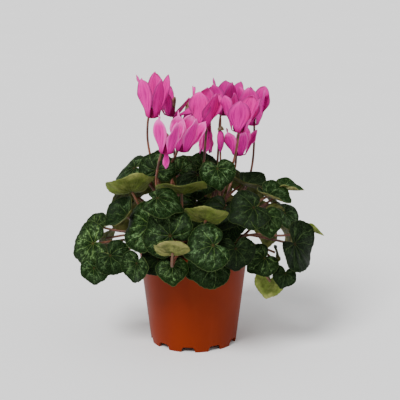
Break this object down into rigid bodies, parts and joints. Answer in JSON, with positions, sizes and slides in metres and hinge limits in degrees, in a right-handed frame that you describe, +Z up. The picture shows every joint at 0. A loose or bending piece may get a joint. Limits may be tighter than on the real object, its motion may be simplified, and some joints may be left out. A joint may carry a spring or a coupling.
{
  "type": "potted cyclamen",
  "caption": "Flowering cyclamen house plant with heart-shaped silver-marbled leaves and swept-back pink blooms, in its tapered terracotta-coloured plastic nursery pot.",
  "frame": {"origin": "centre of the pot's foot, on the surface that the pot stands on", "axes": "+Z up through the pot's axis, -Y towards the side that the picture shows, +X to that view's right"},
  "size_m": [0.2694, 0.2214, 0.2935],
  "materials": {
    "pot": "satin terracotta-coloured plastic, smooth, a little greyed by handling",
    "soil": "dark fibrous peat",
    "stalk": "reddish brown fleshy stalks, slightly downy",
    "leaf": "dark green upper face with a silver-green net and jagged band, olive green underside, soft satin",
    "petal": "magenta pink petals, deeper at the mouth and paler along the edge, soft sheen"
  },
  "bodies": {
    "root": {"pot": "pot", "soil": "soil", "crown": "stalk", "bud": "petal", "leaf_01": "leaf", "leaf_02": "leaf", "leaf_03": "leaf", "leaf_04": "leaf", "leaf_05": "leaf", "leaf_06": "leaf", "leaf_07": "leaf", "leaf_08": "leaf", "leaf_09": "leaf", "leaf_10": "leaf", "leaf_11": "leaf", "leaf_12": "leaf", "leaf_13": "leaf", "leaf_14": "leaf", "leaf_15": "leaf", "leaf_16": "leaf", "leaf_17": "leaf", "leaf_18": "leaf", "leaf_19": "leaf", "leaf_20": "leaf", "leaf_21": "leaf", "leaf_22": "leaf", "leaf_23": "leaf", "leaf_24": "leaf", "leaf_25": "leaf", "leaf_26": "leaf", "leaf_27": "leaf", "leaf_28": "leaf", "leaf_29": "leaf", "leaf_30": "leaf", "leaf_31": "leaf", "leaf_32": "leaf", "leaf_33": "leaf", "leaf_34": "leaf", "leaf_35": "leaf", "leaf_36": "leaf", "leaf_37": "leaf", "leaf_38": "leaf", "leaf_39": "leaf", "leaf_40": "leaf", "leaf_41": "leaf", "leaf_42": "leaf", "leaf_43": "leaf", "leaf_44": "leaf", "leaf_45": "leaf", "bloom_01": "petal", "bloom_02": "petal", "bloom_03": "petal", "bloom_04": "petal", "bloom_05": "petal", "bloom_06": "petal", "bloom_07": "petal", "bloom_08": "petal", "bloom_09": "petal", "bloom_10": "petal", "bloom_11": "petal"}
  },
  "joints": []
}
